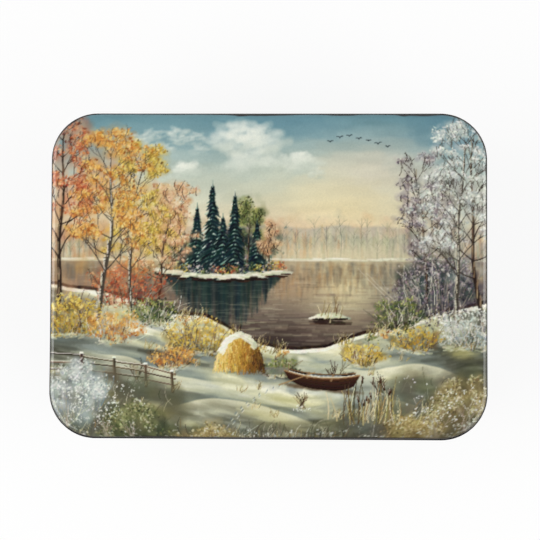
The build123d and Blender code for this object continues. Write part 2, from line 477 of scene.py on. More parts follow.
def headland(x, y, wide):
    """A low wooded point that runs out into the lake, with its dark image below it."""

    def front(px):
        side = 2 * (px - x) / wide
        return y - 2.0 * (1 - side * side) + 0.35 * math.sin(0.9 * px) + 0.2 * math.sin(2.3 * px)

    for _ in range(620):
        px = x + wide * between(-0.5, 0.5)
        fall = between(4, 19) * (1 - (2 * abs(px - x) / wide) ** 2)
        colour = mixed(night_image)
        pull(px, front(px) - 0.8, -fall, 1.9, 0.8, colour, between(0.12, 0.4), 0.9)
    for _ in range(120):
        px, fall = x + wide * between(-0.52, 0.52), 1.5 + 18 * rng.random()
        colour, strength = mixed(haze, 0.3, 1), 0.06 + 0.013 * fall
        dab(px, front(px) - fall, between(2, 8), between(0.3, 0.6), 0, colour, strength, 1.0)
    for px in x + 0.38 * wide * np.linspace(-1, 1, 9):
        px, py = px + between(-1, 1), y + between(3, 9)
        wash(px, py, 12, 13, night, 0.4, 0.5, 18, 1.1)
        flecks(px, py, 11, 13, 110, pick([moss, lilac, needle + rime[:1]]), 0.8, (0, 0.75), 0.75)
    tree(x - 0.42 * wide, y, 19, -1, 0.7, brown_bark, gold, spread=3.4, full=0.7, size=0.6)
    tree(x + 0.2 * wide, y, 24, 1, 0.8, brown_bark, moss, spread=4.2, full=0.8, size=0.65)
    for share, tall, slim in (
        (-0.33, 16, 0.5),
        (-0.22, 25, 0.4),
        (-0.09, 32, 0.42),
        (0.0, 20, 0.55),
        (0.1, 28, 0.38),
        (0.29, 18, 0.5),
    ):
        spruce(x + wide * share, y + between(-1, 1), tall, tall * slim)
    tree(x + 0.38 * wide, y - 0.5, 17, 2, 0.6, brown_bark, peach, spread=2.6, full=0.55, size=0.6)
    for px in x + 0.5 * wide * np.linspace(-1, 1, 18):
        flecks(px, front(px) + 2.2, 5, 4, 36, pick([gold, moss, rust, lilac, moss]), 0.7, (0, 0.95))
    reach = (x - 0.55 * wide, x + 0.55 * wide)
    lean = (-0.08, 0.08)
    strokes(210, reach, (-0.4, 1.0), (1.5, 5), (0.5, 1.0), snow, 0.6, turn=lean, tone=(0.3, 1), along=front)
    strokes(110, reach, (-1.2, -0.7), (1.2, 4), (0.4, 0.8), undercut, 0.7, 1.8, along=front)


# The near bank.

shore_places = [(-82, -3), (-60, -6), (-40, -12), (-22, -15), (-8, -22), (6, -27)]
shore_places += [(20, -26), (34, -21), (50, -18), (64, -12), (82, -8)]


def rolling_line(places, rough):
    """The height, for each column of the canvas, of a soft, uneven line that runs by the places."""
    px, py = zip(*places)
    width = int(8 / pitch)
    kernel = np.hanning(2 * width + 1)
    padded = np.pad(np.interp(xs, px, py), width, mode="edge")
    return np.convolve(padded, kernel / kernel.sum(), mode="valid") + rough * (drift(15, 400, 3)[0] - 0.5)


shore = rolling_line(shore_places, 2.4)


def shore_at(x):
    return height_at(shore, x)


def crest(places, light=0.75):
    """The top of a nearer drift: pale along its edge, with a grey hollow behind it that fades away."""
    above = up - rolling_line(places, 2.0)
    fade = light * np.clip(np.minimum(across - places[0][0], places[-1][0] - across) / 9, 0, 1)
    hollow = soft_step(above) * np.exp(-np.maximum(above, 0) / 2.6)
    edge = soft_step(-above) * np.exp(np.minimum(above, 0) / 4.5)
    glaze(paint("#7C8888"), 0.8 * fade * hollow)
    glaze(paint("#E9E5C8"), fade * edge)


def bank():
    """Snow in low mounds, lit from the upper left: yellow-green where pale, blue-grey in the hollows."""
    below = shore[None, :] - up
    cover = soft_step(below)
    mounds = drift(34, 8.5, 4, -0.16)
    step = int(1.5 / pitch)
    fall = mounds - np.roll(np.roll(mounds, step, axis=1), -step, axis=0)
    fall[:, :step] = fall[:, step : step + 1]
    corner = np.clip((np.hypot(across / 80, (up - 34) / 90) - 0.8) / 0.36, 0, 1)
    tone = 0.6 + 3.4 * fall + 0.5 * (mounds - 0.5) + 0.25 * np.exp(-below / 2.5) - 0.7 * corner
    stops = {0: "#54554A", 0.22: "#7F8176", 0.42: "#A3A592", 0.6: "#C4C3A4", 0.78: "#DCD9B8", 1: "#F0EDDA"}
    glaze(blend_stops(tone, stops), cover)
    cool = np.clip((drift(24, 7, 3, -0.25) - 0.52) * 4, 0, 1) * np.clip(below / 5, 0, 1)
    glaze(paint("#8C9AA0"), 0.55 * cool * cover)
    warm = np.clip((drift(20, 6, 3, -0.2) - 0.55) * 4, 0, 1) * np.clip(below / 4, 0, 1)
    glaze(paint("#D8CE86"), 0.5 * warm * cover)

    def down_the_slope():
        x = between(*whole_length)
        slope = -0.16 if x < 16 else 0.2
        return x, shore_at(x) - 1.5 - 46 * rng.random(), slope + between(-0.15, 0.15)

    scumble(1900, down_the_slope, (3, 11), (0.5, 1.7), 0.05, 0.42)
    crest([(-64, -27), (-50, -29), (-34, -36), (-18, -38)])
    crest([(24, -32), (38, -34), (54, -31), (70, -36)])
    crest([(-38, -48), (-22, -43), (-2, -46), (18, -53)])
    crest([(30, -47), (44, -43), (62, -48)], 0.6)


def bank_edge():
    """A pale lip of snow over a dark, uneven undercut, which follow the shore."""
    step = 1.1
    for x in np.arange(*whole_length, step):
        slope = math.atan2(shore_at(x + step) - shore_at(x), step)
        for way, colours, strength in ((1, undercut, 0.6), (-1, snow[4:], 0.7)):
            for _ in range(3):
                px, colour = x + between(0, step), mixed(colours)
                py = shore_at(px) + way * between(0.3, 0.95)
                dab(px, py, between(1.5, 4.2), between(0.5, 1.05), slope, colour, strength, 1.6)


def cast_shadow(x, y, long, wide):
    """A soft blue-grey streak across the snow, down to the right from the foot of a tree."""
    turn = -0.3
    for _ in range(int(long * 0.9)):
        t = rng.random()
        px, py = x + t * long * math.cos(turn), y + t * long * math.sin(turn) + between(-0.3, 0.3) * wide
        thick, way = wide * between(0.3, 0.8), turn + between(-0.15, 0.15)
        dab(px, py, between(3, 7), thick, way, pick(shadow_blue), 0.24, 1.2)


def track(points):
    """Footsteps through the snow, smaller as they go away."""
    for k, (x, y) in enumerate(points):
        big = 1.1 - 0.6 * k / len(points)
        x += (0.7 if k % 2 else -0.7) * big
        dab(x + between(-0.4, 0.4), y, 1.5 * big, 0.7 * big, 1.0, pick(shadow_blue), 0.7, 1.6)
        dab(x, y - 0.5 * big, 1.6 * big, 0.4, 0.9, shade(snow, 0.9), 0.5, 1.6)


def islet(x, y, wide):
    """A hummock of snow standing in the water, with its undercut and a streak of its image."""
    reach = (x - wide / 2, x + wide / 2)
    strokes(30, reach, (y - 2.4, y - 0.8), (2, 6), (0.7, 0.7), undercut, 0.4, 1.2)
    for _ in range(70):
        side = between(-1, 1)
        lift = (1 - side * side) * wide * 0.13 * rng.random()
        colour = shade(snow, 0.5 - 0.3 * side + between(-0.2, 0.3))
        dab(x + side * wide / 2, y + lift, between(1.5, 4), 0.9, -0.2 * side, colour, 0.7, 1.5)
    strokes(26, reach, (y - 0.7, y - 0.2), (1, 3), (0.5, 0.5), undercut, 0.75, 1.8)
    reeds(x, y, wide * 0.7, 12, 6)


# Growing things.


def limb(x, y, long, turn, wide, colour, tips, depth=0):
    """A bough that bends up as it grows and forks twice. Its tips are added to the list."""
    end = (x + long * math.cos(turn), y + long * math.sin(turn))
    points = bow(x, y, *end, between(-0.14, 0.14))
    line(points, wide, max(wide * 0.45, 0.2), colour, 0.85)
    tips.append(end)
    if depth == 2:
        return
    for k in range(3 if depth == 0 else 2):
        fork = turn + between(0.3, 0.75) * (1 if k % 2 else -1)
        fork, shorter = fork + 0.25 * (upright - fork), long * between(0.42, 0.66)
        limb(*points[2 + k + depth // 2], shorter, fork, wide * 0.55, colour, tips, depth + 1)


def trunk(x, y, tall, lean, wide, bark, marks):
    """A stem, dark on the right and pale on the left, thinner as it rises, with snow at its foot."""
    steps = 11
    points = bow(x, y, x + lean, y + tall, between(-0.05, 0.05), steps)
    points = [(px + 0.25 * wide * math.sin(1.1 * k + x), py) for k, (px, py) in enumerate(points)]
    line(points, wide, wide * 0.22, bark[0], 0.95)
    for k in range(int(tall * 1.6)):
        t = (k + rng.random()) / (tall * 1.6)
        px, py = points[min(int(t * steps), steps - 1)]
        py += between(0, tall / steps)
        here = wide * (1 - 0.75 * t)
        left, thick = here * between(0.05, 0.3), here * between(0.25, 0.5)
        dab(px - left, py, between(1, 3), thick, upright, mixed(bark, 0.5, 1), 0.6, 1.6)
        if marks is not None and rng.random() < 0.5:
            dab(px, py, here * between(0.3, 0.8), 0.35, between(-0.2, 0.2), marks, 0.8)
    foot = (x - 0.9 * wide, x + 0.9 * wide)
    strokes(12, foot, (y - 0.8, y + 0.4), (1, 2.4), (0.5, 0.5), snow, 0.7, turn=(0.1, 0.1), tone=(0.4, 1))
    return points


def tree(x, y, tall, lean, wide, bark, colours, spread=6.0, size=0.85, full=1.0, marks=None, low=0.0):
    """A broadleaved tree: a haze for its crown, then its stem and boughs, clumps of leaves, and twigs."""
    for px, py in bow(x, y, x + lean, y + tall, 0.0, 9)[3:]:
        wash(px, py, spread * 2.4, spread * 1.3, colours, 0.45, 0.17, 9, spread * 0.21)
    points = trunk(x, y, tall, lean, wide, bark, marks)
    tips = []
    for k in range(3, 11):
        for side in (-1, 1):
            if rng.random() < (0.55 if k < 4 else 0.5 * (tall < 30)):
                continue
            long = tall * between(0.15, 0.27) * (1.2 - 0.5 * k / 11)
            turn = upright - side * between(0.5, 1.0) * (1.1 - 0.4 * k / 11)
            limb(*points[k], long, turn, wide * 0.32 * (1.2 - k / 14), bark[0], tips)
    for tx, ty in tips:
        if rng.random() < 0.75 * full:
            reach = spread * between(0.45, 1.1)
            wash(tx, ty, reach, reach * 0.6, colours, between(0.3, 0.75), 0.3, 3, 0.75)
            count, dark = int(between(10, 34) * full), low + between(-0.05, 0.15)
            flecks(tx, ty, reach, reach * 0.62, count, colours, size, (dark, 1))
            wash(tx - 1, ty + 1, reach * 0.7, reach * 0.5, colours, 0.9, 0.16, 2, 0.6)
    for tx, ty in tips[::3]:
        root = (tx + between(-2, 2), ty - between(1, 3))
        twig = bow(*root, tx + between(-1, 1), ty + between(0, 2), between(-0.2, 0.2), 3)
        line(twig, 0.34, 0.18, bark[0], between(0.4, 0.8))


def spruce(x, y, tall, wide):
    """A conifer in drooping tiers: dark beneath, grey-green boughs, and frost along their upper sides."""
    tiers = int(tall / 1.35)
    for t in np.arange(tiers) / tiers:
        level = y + tall * (0.03 + 0.94 * t)
        reach = (wide * 0.5 * (1 - t) ** 0.9 + 0.25) * between(0.8, 1.15)
        for _ in range(int(9 + 14 * (1 - t))):
            side = between(-1, 1)
            end = (x + side * reach, level - 0.45 * abs(side) * reach - between(0, 1.5))
            touch(x + side * reach * 0.2, level, *end, 1.3, 0.45, mixed(night, 0, 0.7), 0.7, 1.5)
        for _ in range(int(5 + 9 * (1 - t))):
            side = between(-1, 1)
            end = (x + side * reach * 0.95, level - 0.4 * abs(side) * reach + 0.3)
            strength = between(0.35, 0.75)
            touch(x + side * reach * 0.35, level + 0.2, *end, 0.8, 0.4, pick(needle), strength, 1.4)
        for _ in range(int(3 + 8 * (1 - t))):
            side = between(-1, 0.55)
            end = (x + side * reach, level - 0.4 * abs(side) * reach + 0.5)
            strength = between(0.3, 0.85)
            touch(x + side * reach * 0.45, level + 0.4, *end, 0.75, 0.35, pick(rime), strength, 1.6)
    touch(x, y + tall * 0.9, x + 0.1, y + tall * 1.01, 0.6, 0.25, night[0], 0.9)
    touch(x - 0.15, y + tall * 0.93, x, y + tall * 1.02, 0.35, 0.22, pick(rime), 0.7)


def bush(x, y, wide, high, colours, stems, full=1.0, tone=(0, 1)):
    """A round bush: a dark heart, fine stems that fan out, and flecks that get paler towards the top."""
    area = wide * high * full
    heart = int(area * 0.11) + 8
    wash(x, y + high * 0.5, wide * 0.84, high * 0.66, colours, tone[0] + 0.2, 0.45, heart, 0.9)
    for _ in range(int(8 + wide * 0.8)):
        side = between(-1, 1)
        root = (x + wide * 0.3 * side, y + between(0, 0.1 + 0.12 * side * side) * high)
        colour, long = mixed(stems), high * between(0.6, 1.1)
        strand(*root, 0.6 * side + between(-0.5, 0.5), long, 0.42, 0.2, colour, bend=0.15)
    for _ in range(int(area * 2.2)):
        r, way = in_round()
        r *= 1 + 0.16 * math.sin(5 * way + x) + rng.normal(0, 0.07)
        px, py = x + wide * 0.5 * r * math.cos(way), y + high * (0.5 + 0.5 * r * math.sin(way))
        clump = math.sin(px * 1.3 + y) * math.sin(py * 1.7 + x)
        lit = 0.5 * (py - y) / high - 0.2 * (px - x) / wide + 0.3 + 0.22 * clump + rng.normal(0, 0.12)
        long = between(0.45, 1.2)
        colour = shade(colours, tone[0] + (tone[1] - tone[0]) * lit)
        dab(px, py, long, long * 0.6, between(0, math.pi), colour, between(0.4, 0.9), 2)
    for _ in range(int(4 + wide * 0.3)):
        root = (x + wide * between(-0.3, 0.3), y + high * between(0.1, 0.5))
        long = high * between(0.3, 0.6)
        strand(*root, between(-0.5, 0.5), long, 0.34, 0.18, mixed(stems, 0.4, 1))
    foot = (x - 0.36 * wide, x + 0.36 * wide)
    pale = (0.15, 0.75)
    strokes(int(wide * 1.6), foot, (y - 0.6, y + 1), (1, 3), (0.4, 0.9), snow, 0.45, 1.6, (-0.4, 0.4), pale)
    grass(x, y - 0.6, wide * 0.5, 1.8, straw, int(wide * 0.8), 2.6, thin=0.28)


def frosted_bush(x, y, wide, high, colours, clumps):
    """A dim, soft bush with pale twigs and a few crisp clumps of frosted leaves near its top."""
    wash(x, y + high * 0.36, wide * 0.72, high * 0.74, colours, 0.3, 0.38, int(wide * high / 5), 1.5)
    for _ in range(int(wide / 3)):
        root = (x + wide * between(-0.4, 0.4), y + high * between(0, 0.3))
        bare_twigs(*root, high * 0.7, 1, colours[1:3], 0.4)
    for _ in range(clumps):
        way = between(0.25, 2.9)
        px = x + 0.5 * wide * math.cos(way) * between(0.3, 1)
        py = y + high * math.sin(way) * between(0.45, 1)
        wash(px, py, 5, 3.5, colours, 0.55, 0.3, 4, 0.9)
        count = int(between(14, 40))
        flecks(px, py, between(3.5, 7), between(2.5, 4.5), count, colours, 0.7, (0.1, 1), 0.85)


def grass(x, y, wide, high, colours, count, tall, wind=0.25, thin=0.32):
    """Bowed blades that stand in a patch, the far ones drawn first."""
    places = [(rng.normal(0, 0.5), rng.random()) for _ in range(count)]
    for side, level in sorted(places, key=lambda place: -place[1]):
        root, long = (x + side * wide / 2, y + level * high), tall * between(0.4, 1.15)
        colour, strength = mixed(colours), between(0.35, 0.85)
        strand(*root, wind + rng.normal(0, 0.35), long, thin, thin * 0.6, colour, strength)


def bare_twigs(x, y, tall, count, colours, wide=0.5):
    """A small leafless shrub."""
    for _ in range(count):
        long, turn = tall * between(0.5, 0.9), upright + between(-0.6, 0.6)
        limb(x + between(-1.5, 1.5), y, long, turn, wide, mixed(colours), [], 1)


def frost(x, y, wide, high, count):
    """White specks, some in tight little groups."""
    for _ in range(count):
        px, py = x + wide * scatter(0.35), y + high * scatter(0.35)
        for _ in range(rng.integers(1, 5)):
            long, colour = between(0.3, 0.9), mixed(hoar, 0.5, 1)
            place = (px + rng.normal(0, 0.6), py + rng.normal(0, 0.5))
            dab(*place, long, long * 0.6, between(0, math.pi), colour, between(0.5, 1))


def reeds(x, y, wide, count, tall):
    """Dry stalks, nearly straight, a few of them with a brown head under a cap of snow."""
    for _ in range(count):
        root, lean = (x + wide * rng.normal(0, 0.3), y + between(-2, 2)), rng.normal(0.1, 0.16)
        long = tall * between(0.5, 1.1)
        tip = strand(*root, lean, long, 0.38, 0.25, mixed(straw), 0.85, 0.08)
        if rng.random() < 0.18 and tall > 8:
            dab(*tip, between(2.0, 3.0), 0.75, upright - lean, paint("#3F281C"), 0.95)
            dab(tip[0] - 0.2, tip[1] + 0.5, 1.3, 0.3, upright - lean, paint("#E8E4D8"), 0.7)


# What people left there, and geese.


def haystack(x, y, wide, high):
    """A tall round stack of hay round its pole, with snow on its top and a shadow to its right."""
    ground, cool = (x - 0.2 * wide, x + 0.95 * wide), (0, 0.4)
    strokes(140, ground, (y - 1.9, y + 0.3), (2, 5), (0.6, 1.1), haze, 0.35, 1, (0.05, 0.05), cool)
    for _ in range(1300):
        r, way = in_round(math.pi)
        px = x + wide / 2 * r * math.cos(way) * (1 - 0.1 * math.sin(way))
        py = y + high * r * math.sin(way)
        lit = 0.52 - 0.9 * (px - x) / wide + 0.2 * (py - y) / high + rng.normal(0, 0.13)
        touch(px, py, px + between(-0.8, 0.8), py - between(0.8, 2.6), 0.5, 0.22, shade(hay, lit), 0.75)
    line([(x, y + high - 1), (x + 0.5, y + high + 3)], 0.6, 0.35, paint("#2E221C"))
    for _ in range(210):
        way = between(0.75, 2.6)
        r = between(0.86, 1.03) - 0.12 * rng.random() * abs(math.cos(way))
        px, py = x + wide / 2 * r * math.cos(way) * 0.95, y + high * r * math.sin(way)
        colour = shade(snow, 0.55 + 0.4 * rng.random() - 0.3 * math.cos(way))
        dab(px, py, between(0.9, 2.2), between(0.45, 0.8), way + upright, colour, 0.85)


def fence(posts, thick):
    """Posts, each a place and a height, with three weathered rails and a line of snow on each rail."""
    for (x0, y0, tall0), (x1, y1, tall1) in zip(posts, posts[1:]):
        for level in (0.3, 0.6, 0.88):
            start = (x0 - 0.8, y0 + tall0 * level + between(-0.4, 0.4))
            end = (x1 + 0.8, y1 + tall1 * level + between(-0.4, 0.4))
            rail = bow(*start, *end, between(-0.012, 0.004), 4)
            line(rail, thick * 0.5, thick * 0.42, mixed(wood))
            line(lifted(rail, thick * 0.26), thick * 0.26, thick * 0.2, mixed(snow, 0.6, 1), 0.85)
    for x, y, tall in posts:
        top_x, lit_side = x + between(-0.6, 0.6), thick * 0.25
        line([(x, y - 0.4), (top_x, y + tall)], thick * 0.95, thick * 0.8, mixed(wood, 0, 0.6))
        lit = [(x - lit_side, y), (top_x - lit_side, y + tall)]
        line(lit, thick * 0.25, thick * 0.2, paint("#9A8874"), 0.6)
        dab(top_x, y + tall + 0.2, thick * 1.2, thick * 0.6, 0, shade(snow, 1), 0.95)
        grass(x, y - 0.6, 1.6, 0.8, straw, 7, 2.6)


def boat(x, y, long, turn):
    """A rowing boat drawn up on the snow, seen from one side and a little above. Its places are in shares
    of its length, u along it and v up."""
    c, s = math.cos(turn), math.sin(turn)

    def at(u, v):
        return x + long * (u * c - v * s), y + long * (u * s + v * c)

    def rim(t):
        return 0.03 + 0.03 * t + 0.075 * t * t

    for _ in range(90):
        place = at(between(-0.52, 0.56), between(-0.15, -0.1))
        dab(*place, 4, 1.3, turn, mixed(wood + haze[1:2], 0.2, 1), 0.22, 1)
    ends = np.linspace(-1, 1, 16)
    keel = -0.125 + 0.1 * np.abs(ends) ** 3
    strake_count = 20
    for k in range(strake_count):
        level = k / (strake_count - 1)
        strake = [at((0.46 + 0.07 * level) * t, v + (rim(t) - v) * level) for t, v in zip(ends, keel)]
        line(strake, 0.6, 0.6, shade(hull, 0.15 + 0.6 * level + between(-0.08, 0.08)), 0.95)
        if k % 5 == 4:
            line(strake, 0.26, 0.26, paint("#241815"), 0.8)
    inside = [at(0.5 * t, rim(t) + 0.022) for t in 0.88 * ends]
    line(inside, 1.7, 1.7, paint("#1E1716"), 0.95)
    line(lifted(inside[4:-3], 0.1), 0.7, 0.7, paint("#B9BFBE"), 0.7)
    for u in (-0.2, 0.14):
        line([at(u, 0.01), at(u + 0.02, 0.085)], 0.9, 0.8, paint("#8E7458"), 0.9)
    near_rim = [at(0.53 * t, rim(t)) for t in ends]
    line(near_rim, 0.55, 0.55, paint("#A98C68"), 0.95)
    line(lifted(near_rim[1:-1], 0.34), 0.36, 0.36, paint("#F1EEE2"), 0.85)
    far_rim = [at(0.5 * t, 0.085 + 0.03 * t + 0.05 * t * t) for t in 0.95 * ends]
    line(far_rim, 0.42, 0.42, paint("#8A6E52"), 0.9)
    line([at(-0.1, 0.1), at(-0.58, -0.14)], 0.4, 0.55, paint("#A08562"))


def geese():
    """Seven geese in an uneven wedge."""
    for k in range(7):
        x, y = 22 + 3.4 * k, 50 - 1.1 * abs(k - 2) + between(-0.4, 0.4)
        size = between(0.8, 1.2)
        line(bow(x - size, y + 0.35 * size, x, y, 0.18, 3), 0.3, 0.4, paint("#2F3C44"), 0.85)
        line(bow(x, y, x + size, y + 0.45 * size, 0.18, 3), 0.4, 0.3, paint("#2F3C44"), 0.85)


# The picture's parts, each from far to near.


def left_grove():
    wash(-64, 20, 40, 56, peach, 0.5, 0.3, 130, 1.8)
    wash(-70, 40, 26, 24, rust, 0.6, 0.3, 50, 1.6)
    tree(-75, -12, 66, 2, 2.0, brown_bark, rust, spread=6.4, full=0.75)
    tree(-39, -13, 42, 5, 1.1, brown_bark, peach, spread=5.0, full=0.8)
    bush(-50, -12, 26, 17, rust, brown_bark, 0.6, (-0.05, 0.9))
    tree(-48, -14, 56, 4, 1.4, birch_bark, gold, spread=5.6, full=0.7, marks=birch_marks)
    tree(-61, -16, 64, 4, 1.9, birch_bark, autumn, spread=6.4, full=0.8, marks=birch_marks)
    bush(-70, -22, 22, 15, gold, brown_bark)
    bush(-40, -18, 18, 10, moss, birch_bark, tone=(-0.1, 1))
    bush(-54, -24, 20, 11, autumn, birch_bark, 0.8)


def right_grove():
    wash(66, 12, 26, 40, lilac, 0.3, 0.35, 80, 1.6)
    wash(60, -2, 23, 16, night + moss[:3], 0.35, 0.4, 70, 1.3)
    tree(56, -12, 50, -4, 1.2, brown_bark, lilac, spread=4.6, full=0.6, size=0.7)
    bush(60, -16, 30, 24, lilac, birch_bark, 0.8, (-0.2, 0.9))
    tree(76, -20, 70, -3, 1.9, brown_bark, hoar, spread=6.2, full=0.75, size=0.75, low=0.2)
    tree(67, -18, 64, 3, 1.6, birch_bark, hoar, size=0.75, full=0.75, marks=birch_marks, low=0.25)
    bush(46, -20, 18, 12, moss, birch_bark, tone=(-0.1, 1))
    bush(71, -26, 24, 15, hoar, birch_bark, 0.8, (0.1, 1))
    bush(52, -27, 17, 9, gold, brown_bark)


def bank_growth():
    """What stands along the shore and on the open snow."""
    for x in (-30, -24, -12, -3, 4, 27, 36, 41):
        grass(x, shore_at(x) - 2.5, 5, 2, straw, 26, 4.5)
        flecks(x + 1, shore_at(x) - 2, 5, 3, 26, pick([gold, moss, autumn]), 0.7)
    bush(-24, -28, 24, 12, gold, brown_bark, 0.9)
    bush(-34, -33, 16, 8, autumn, brown_bark, 0.9)
    bush(4, -36, 14, 7, moss, brown_bark, 0.9)
    bush(34, -32, 15, 8, gold, brown_bark, 0.9)
    for x, y, tall in ((-6, -33, 8), (12, -47, 7), (24, -38, 9), (-46, -38, 9), (40, -42, 8)):
        bare_twigs(x, y, tall, 6, brown_bark)
        frost(x, y, 5, 1.5, 12)
    for _ in range(22):
        x = between(-60, 50)
        grass(x, shore_at(x) - between(6, 28), 3, 0.8, straw, 12, 3, thin=0.28)


def foreground():
    """The dim near corners: grey-olive haze with thin grass, soft frosted bushes and a few clear twigs."""
    for x, y, wide, high in ((-60, -54, 52, 24), (66, -54, 48, 26), (0, -61, 100, 8)):
        wash(x, y + high * 0.2, wide, high, murk, 0.45, 0.4, int(wide * high / 7), 2.0)
        grass(x, y - high * 0.2, wide, high * 0.8, dry_grass, int(wide * 2.2), 6)
        grass(x, y - high * 0.3, wide, high * 0.6, straw, int(wide * 1.8), 5)
    frosted_bush(-68, -50, 26, 20, hoar, 30)
    frosted_bush(-46, -59, 26, 15, sage, 26)
    frosted_bush(-20, -62, 26, 9, straw, 18)
    frosted_bush(70, -54, 26, 20, sedge, 32)
    frosted_bush(52, -60, 22, 12, straw, 22)
    reeds(36, -51, 20, 60, 13)
    shrubs = [(-71, -53, 12), (-57, -58, 10), (-48, -57, 7), (59, -57, 10), (70, -54, 14), (20, -59, 7)]
    for x, y, tall in shrubs:
        bare_twigs(x, y, tall, 3, birch_bark[1:3], 0.38)
        grass(x, y - 1, 2, 1, birch_bark[1:3], 8, tall * 0.6, 0.0, 0.32)
    frost(-62, -46, 30, 16, 160)
    frost(64, -48, 28, 18, 130)
    frost(-4, -57, 110, 5, 110)
    dim = np.clip((-50 - up) / 9, 0, 1) * (0.45 + 0.25 * drift(20, 6, 3))
    glaze(paint("#2C2A22"), dim * (0.5 + 0.15 * np.clip(across / 60, -1, 1)))


def finishing_glaze():
    """A warm, thin glaze over the whole picture, deeper in patches, that pulls its tones together."""
    patches = 1.0 + 0.08 * (drift(40, 30, 3) - 0.5)
    canvas[:] = canvas * patches[..., None] * paint("#F8F8F1")
    canvas[:] = canvas + 0.2 * (canvas - 0.5) * (1 - np.abs(2 * canvas - 1))


sky()
cloud(-8, 36, 26, 15, paint("#F4F5EC"), paint("#AEBAB0"), 16)
cloud(-34, 44, 18, 9, paint("#E4E8E0"), paint("#9DB0B0"), 9)
far_bank()
water()
headland(-16, 1.0, 42)
bank()
bank_edge()
for x, y, long, wide in ((-61, -17, 42, 3), (-48, -16, 34, 2.4), (-75, -14, 30, 3), (-40, -20, 26, 3)):
    cast_shadow(x, y, long, wide)
cast_shadow(-10, -34, 26, 6)
track(bow(-16, -58, 8, -38, 0.12, 24))
islet(22, -15, 12)
geese()
left_grove()
right_grove()
bank_growth()
fence([(-79, -36, 9), (-66, -36.5, 8.6), (-54, -37.5, 8), (-43, -39, 7.4), (-33.5, -41, 6.8)], 1.3)
haystack(-10, -33, 18, 12.5)
boat(19, -37, 25, -0.12)
foreground()
finishing_glaze()


# The picture laid over the crown.

# Where the black line is heavier: the place's x and y, how far along this reaches, and the extra width.
edge_runs = [(-4, 58, 12, 0.6), (-10, 58, 2, 0.4), (26, 58, 7, 0.55), (54, 58, 9, 0.6)]
edge_runs += [(48, 58, 1.5, 0.4), (30, -58, 40, 0.6), (-40, -58, 24, 0.45)]


def black_edge(ragged, blur, cover):
    """The black line round the picture, ragged where the paint ran over it, heavier in a few places."""
    wide = edge_line + ragged * (drift(7, 7, 3) - 0.4)
    for x, y, long, extra in edge_runs:
        wide = wide + extra * pool(x, y, long, 3)
    glaze(paint("#14100E"), cover * soft_step(wide - inset_at(across, up), blur))


def canvas_at(x, y):
    """The canvas's colour at places between its cells."""
    u = np.clip((x + half_length) / pitch, 0, len(xs) - 1.001)
    v = np.clip((y + half_width) / pitch, 0, len(ys) - 1.001)
    i, j = u.astype(int), v.astype(int)
    return read_between(canvas, i, j, (u - i)[:, None], (v - j)[:, None])


def to_linear(values):
    """sRGB from 0 to 1, as a screen shows it, to the linear light that shaders use."""
    values = np.asarray(values, dtype=float)
    return np.where(values <= 0.04045, values / 12.92, ((values + 0.055) / 1.055) ** 2.4)


def tint(code):
    """A material's colour, from sRGB hex."""
    return tuple(float(value) for value in to_linear(paint(code))) + (1.0,)


def mesh_object(name, bm):
    mesh = bpy.data.meshes.new(name)
    bm.to_mesh(mesh)
    bm.free()
    piece = bpy.data.objects.new(name, mesh)
    bpy.context.scene.collection.objects.link(piece)
    return piece


def on_rim(edge, low, high):
    """Whether a grid edge lies on the picture's outline, not where two bands meet."""
    side = all(abs(abs(vert.co.x) - 1) < 1e-6 for vert in edge.verts)
    front = low <= -skin_half_width and all(vert.co.y < -1 + 1e-6 for vert in edge.verts)
    back = high >= skin_half_width and all(vert.co.y > 1 - 1e-6 for vert in edge.verts)
    return side or front or back


def picture_band(name, low, high):
    """One band of the picture: a fine grid shaped to the crown, its rim turned down, with the canvas's
    colours on its points."""
    rows = round((high - low) / pitch)
    bm = bmesh.new()
    bmesh.ops.create_grid(bm, x_segments=band_columns, y_segments=rows, size=1.0)
    top_count = len(bm.verts)
    rim = [edge for edge in bm.edges if edge.is_boundary and on_rim(edge, low, high)]
    bmesh.ops.extrude_edge_only(bm, edges=rim)
    piece = mesh_object(name, bm)
    mesh = piece.data
    places = np.empty(len(mesh.vertices) * 3)
    mesh.vertices.foreach_get("co", places)
    y = low + (high - low) * (places[1::3] + 1) / 2
    x = places[0::3] * skin_half_length(y)
    z = skin_z(np.maximum(inset_at(x, y), bare_edge_width))
    z[top_count:] -= rim_depth
    mesh.vertices.foreach_set("co", (np.stack([x, y, z], 1) * mm).ravel())
    colours = to_linear(np.clip(canvas_at(x, y), 0, 1))
    painted = mesh.color_attributes.new("paint", "FLOAT_COLOR", "POINT")
    painted.data.foreach_set("color", np.column_stack([colours, np.ones(len(x))]).ravel())
    corners = np.empty(len(mesh.loops), dtype=np.int32)
    mesh.loops.foreach_get("vertex_index", corners)
    flat = np.stack([(x + half_length) / (2 * half_length), (y - low) / (high - low)], 1)
    mesh.uv_layers.new(name="OFBake").data.foreach_set("uv", flat[corners].ravel())
    mesh.polygons.foreach_set("use_smooth", np.arange(len(mesh.polygons)) < band_columns * rows)
    mesh.materials.append(painting_under_varnish)
    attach(piece, "lid")
    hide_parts("lid_picture")


# Materials. A pattern's scale is one over the size in metres of what it draws.


def live_output(value):
    """The output of a node that is in use; any other value stays as it is."""
    if isinstance(value, bpy.types.Node):
        return next(output for output in value.outputs if output.enabled)
    return value


def add(tree, kind, inputs=None, **settings):
    """Adds a node with its settings and links. An input is a value, or a node or socket that feeds it."""
    node = tree.nodes.new(kind)
    for name, value in settings.items():
        setattr(node, name, value)
    for name, value in (inputs or {}).items():
        sockets = [socket for socket in node.inputs if socket.enabled and socket.name == name]
        socket = node.inputs[name] if isinstance(name, int) else sockets[0]
        value = live_output(value)
        if isinstance(value, bpy.types.NodeSocket):
            tree.links.new(value, socket)
        else:
            socket.default_value = value
    return node


